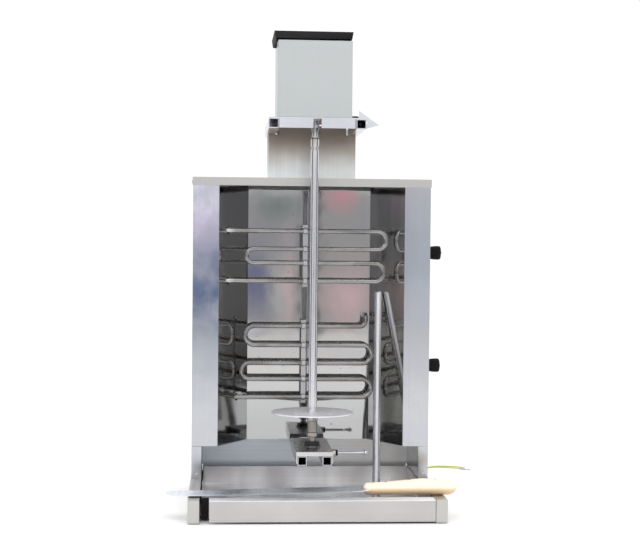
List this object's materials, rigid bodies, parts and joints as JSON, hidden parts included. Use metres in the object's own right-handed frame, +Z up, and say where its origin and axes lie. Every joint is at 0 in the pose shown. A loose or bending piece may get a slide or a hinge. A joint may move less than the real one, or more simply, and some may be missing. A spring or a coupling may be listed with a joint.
{
  "type": "vertical rotisserie broiler",
  "caption": "Open-front electric vertical rotisserie: stainless cabinet with reflectors, serpentine elements, top motor carriage, spit and disc, slide-out drip tray.",
  "frame": {"origin": "on the table, at the bottom centre of the machine's box without its earth lead; the spit axis stands 16 mm in front of it at X = 0", "axes": "+X to the viewer's right when facing the open front, +Y towards the rear cover, +Z up along the spit"},
  "size_m": [0.5629, 0.5453, 0.7677],
  "materials": {
    "sheet_polished": "polished stainless sheet",
    "sheet_satin": "satin stainless sheet",
    "cover_satin": "matt stainless sheet",
    "reflector_mirror": "mirror-polished stainless",
    "chromed_steel": "bright turned and polished steel",
    "tube_steel": "bright drawn square tube",
    "element_sheath": "heat-darkened element sheath",
    "ceramic": "glazed white ceramic",
    "black_plastic": "moulded black plastic",
    "knob_plastic": "heat-resistant black plastic",
    "foot_rubber": "matt rubber",
    "cast_metal": "die-cast",
    "motor_paint": "satin black paint",
    "winding_copper": "varnished winding",
    "gear_steel": "machined steel",
    "blade_steel": "ground blade steel",
    "handle_wood": "pale oiled hardwood",
    "earth_pvc": "yellow and green cable sheath",
    "tinned_copper": "tinned copper"
  },
  "bodies": {
    "root": {"base_rail_left": "sheet_satin", "base_rail_right": "sheet_satin", "rubber_feet": "foot_rubber", "rear_crossbar": "sheet_satin", "leg_left": "sheet_polished", "leg_right": "sheet_polished", "side_panel_left": "sheet_polished", "side_panel_right": "sheet_polished", "cabinet_floor": "sheet_satin", "rear_cover": "sheet_satin", "top_cap": "cover_satin", "back_reflector": "reflector_mirror", "side_reflector_left": "reflector_mirror", "side_reflector_right": "reflector_mirror", "heater_upper": "element_sheath", "heater_lower": "element_sheath", "element_brackets": "chromed_steel", "ceramic_bushings": "ceramic", "column": "cover_satin", "upper_tubes": "tube_steel", "cable_bracket": "tube_steel", "lower_tubes": "tube_steel", "regulators": "black_plastic", "dial_plates": "sheet_satin", "terminal_block": "ceramic", "mains_gland": "black_plastic", "earth_bush": "black_plastic", "body_screws": "chromed_steel", "earth_lead_a": "earth_pvc", "earth_coil": "earth_pvc", "earth_lead_b": "earth_pvc", "earth_lug": "tinned_copper"},
    "motor_carriage": {"motor_plate": "tube_steel", "motor_box": "sheet_satin", "motor_lid": "black_plastic", "gearbox_case": "cast_metal", "gearbox_cover": "cast_metal", "motor_can": "motor_paint", "motor_stator": "winding_copper", "switch_bezel": "black_plastic"},
    "power_rocker": {"rocker": "knob_plastic"},
    "motor_rotor": {"pinion": "gear_steel", "motor_rotor": "gear_steel"},
    "drive": {"output_gear": "gear_steel", "drive_shaft": "chromed_steel", "output_hub": "chromed_steel"},
    "spit": {"spit_bar": "chromed_steel", "coupling_sleeve": "chromed_steel", "spit_disc": "chromed_steel", "disc_hub": "chromed_steel"},
    "lower_carriage": {"lower_saddle": "tube_steel", "bearing_cup": "chromed_steel"},
    "lower_clamp": {"lower_clamp": "chromed_steel"},
    "upper_clamp": {"upper_clamp": "black_plastic"},
    "knob_upper": {"knob_upper": "knob_plastic"},
    "knob_lower": {"knob_lower": "knob_plastic"},
    "drip_tray": {"tray_pan": "sheet_satin"},
    "knife": {"knife_blade": "blade_steel", "knife_handle": "handle_wood"},
    "spare_skewer": {"spare_skewer": "chromed_steel"}
  },
  "joints": [
    {"name": "motor_slide", "type": "slide", "parent": "root", "child": "motor_carriage", "axis": [0, 1, 0], "range_m": [-0.03, 0.022]},
    {"name": "saddle_slide", "type": "slide", "parent": "root", "child": "lower_carriage", "axis": [0, 1, 0], "range_m": [-0.03, 0.022]},
    {"name": "drive_spin", "type": "hinge", "parent": "motor_carriage", "child": "drive", "pos_m": [0, -0.016, 0.62], "axis": [0, 0, 1], "continuous": true},
    {"name": "rotor_spin", "type": "hinge", "parent": "motor_carriage", "child": "motor_rotor", "pos_m": [0, 0.014, 0.66], "axis": [0, 0, 1], "continuous": true},
    {"name": "spit_lift", "type": "slide", "parent": "drive", "child": "spit", "axis": [0, 0, 1], "range_m": [0, 0.0085]},
    {"name": "upper_clamp_turn", "type": "hinge", "parent": "motor_carriage", "child": "upper_clamp", "pos_m": [0.0685, 0.012, 0.636], "axis": [0, 0, 1], "range_deg": [0, 270]},
    {"name": "lower_clamp_turn", "type": "hinge", "parent": "lower_carriage", "child": "lower_clamp", "pos_m": [0.05, -0.036, 0.088], "axis": [1, 0, 0], "range_deg": [0, 270]},
    {"name": "power_switch", "type": "hinge", "parent": "motor_carriage", "child": "power_rocker", "pos_m": [0.0523, -0.033, 0.647], "axis": [0, -1, 0], "range_deg": [0, 14]},
    {"name": "knob_upper_turn", "type": "hinge", "parent": "root", "child": "knob_upper", "pos_m": [0.2, 0.084, 0.416], "axis": [1, 0, 0], "range_deg": [0, 270]},
    {"name": "knob_lower_turn", "type": "hinge", "parent": "root", "child": "knob_lower", "pos_m": [0.2, 0.084, 0.222], "axis": [1, 0, 0], "range_deg": [0, 270]},
    {"name": "tray_slide", "type": "slide", "parent": "root", "child": "drip_tray", "axis": [0, -1, 0], "range_m": [0, 0.25]},
    {"name": "knife_lift", "type": "slide", "parent": "drip_tray", "child": "knife", "axis": [0, 0, 1], "range_m": [0, 0.12]},
    {"name": "skewer_lift", "type": "slide", "parent": "drip_tray", "child": "spare_skewer", "axis": [0, -0.9397, 0.342], "range_m": [0, 0.1]}
  ],
  "couplings": [
    {"joint": "saddle_slide", "follows": "motor_slide", "ratio": 1},
    {"joint": "rotor_spin", "follows": "drive_spin", "ratio": -2.3333}
  ]
}
